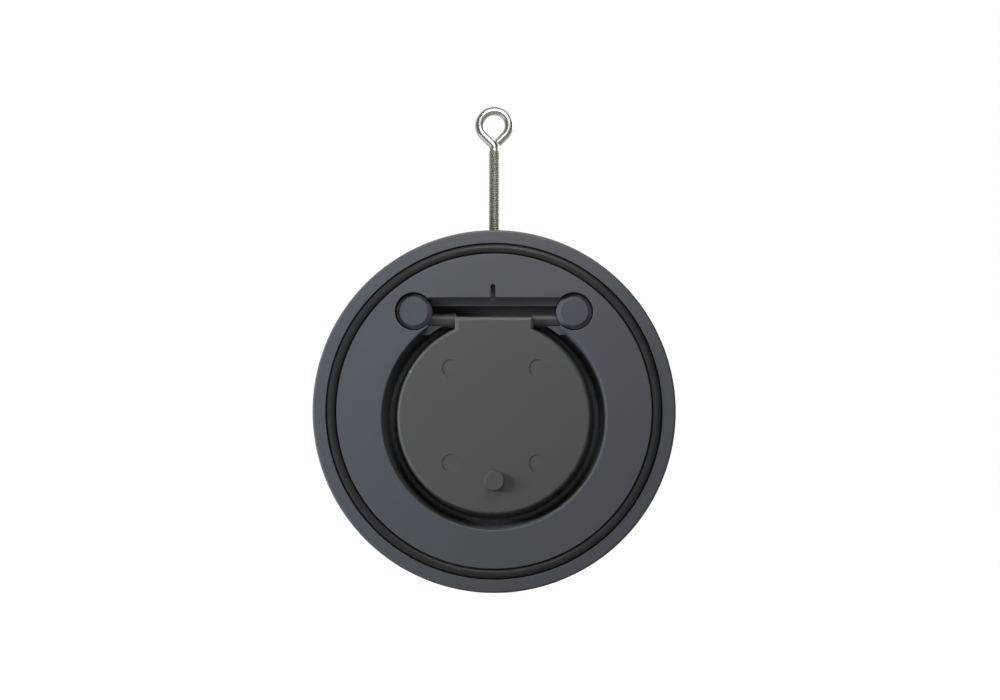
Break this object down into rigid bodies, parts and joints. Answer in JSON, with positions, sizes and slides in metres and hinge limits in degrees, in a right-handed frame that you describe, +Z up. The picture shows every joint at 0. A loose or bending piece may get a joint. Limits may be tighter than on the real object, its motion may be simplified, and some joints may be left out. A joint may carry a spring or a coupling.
{
  "type": "wafer non-return valve",
  "caption": "Thin round plastic swing check valve held between two pipe flanges, with a hinged disc, rubber seals and a lifting eye on its rim.",
  "frame": {"origin": "on the body's axis, halfway between the two sealing faces", "axes": "+Z up to the lifting eye, Y along the pipe with the outlet face towards -Y, +X to the right seen from the outlet"},
  "size_m": [0.162, 0.0249, 0.2197],
  "materials": {
    "body_plastic": "moulded rigid PVC, satin",
    "disc_plastic": "moulded rigid PVC, satin",
    "cap_plastic": "moulded rigid PVC, satin",
    "seal_rubber": "smooth black rubber",
    "plated_steel": "bright zinc plating"
  },
  "bodies": {
    "body": {"valve_body": "body_plastic", "outlet_face_ring": "seal_rubber", "inlet_face_ring": "seal_rubber", "hinge_cap_left": "cap_plastic", "hinge_cap_right": "cap_plastic", "lifting_eyebolt": "plated_steel"},
    "disc": {"clapper_disc": "disc_plastic", "disc_seal_ring": "seal_rubber"}
  },
  "joints": [
    {"name": "disc_swing", "type": "hinge", "parent": "body", "child": "disc", "pos_m": [0, -0.0041, 0.04049], "axis": [-1, 0, 0], "range_deg": [0, 60]}
  ]
}
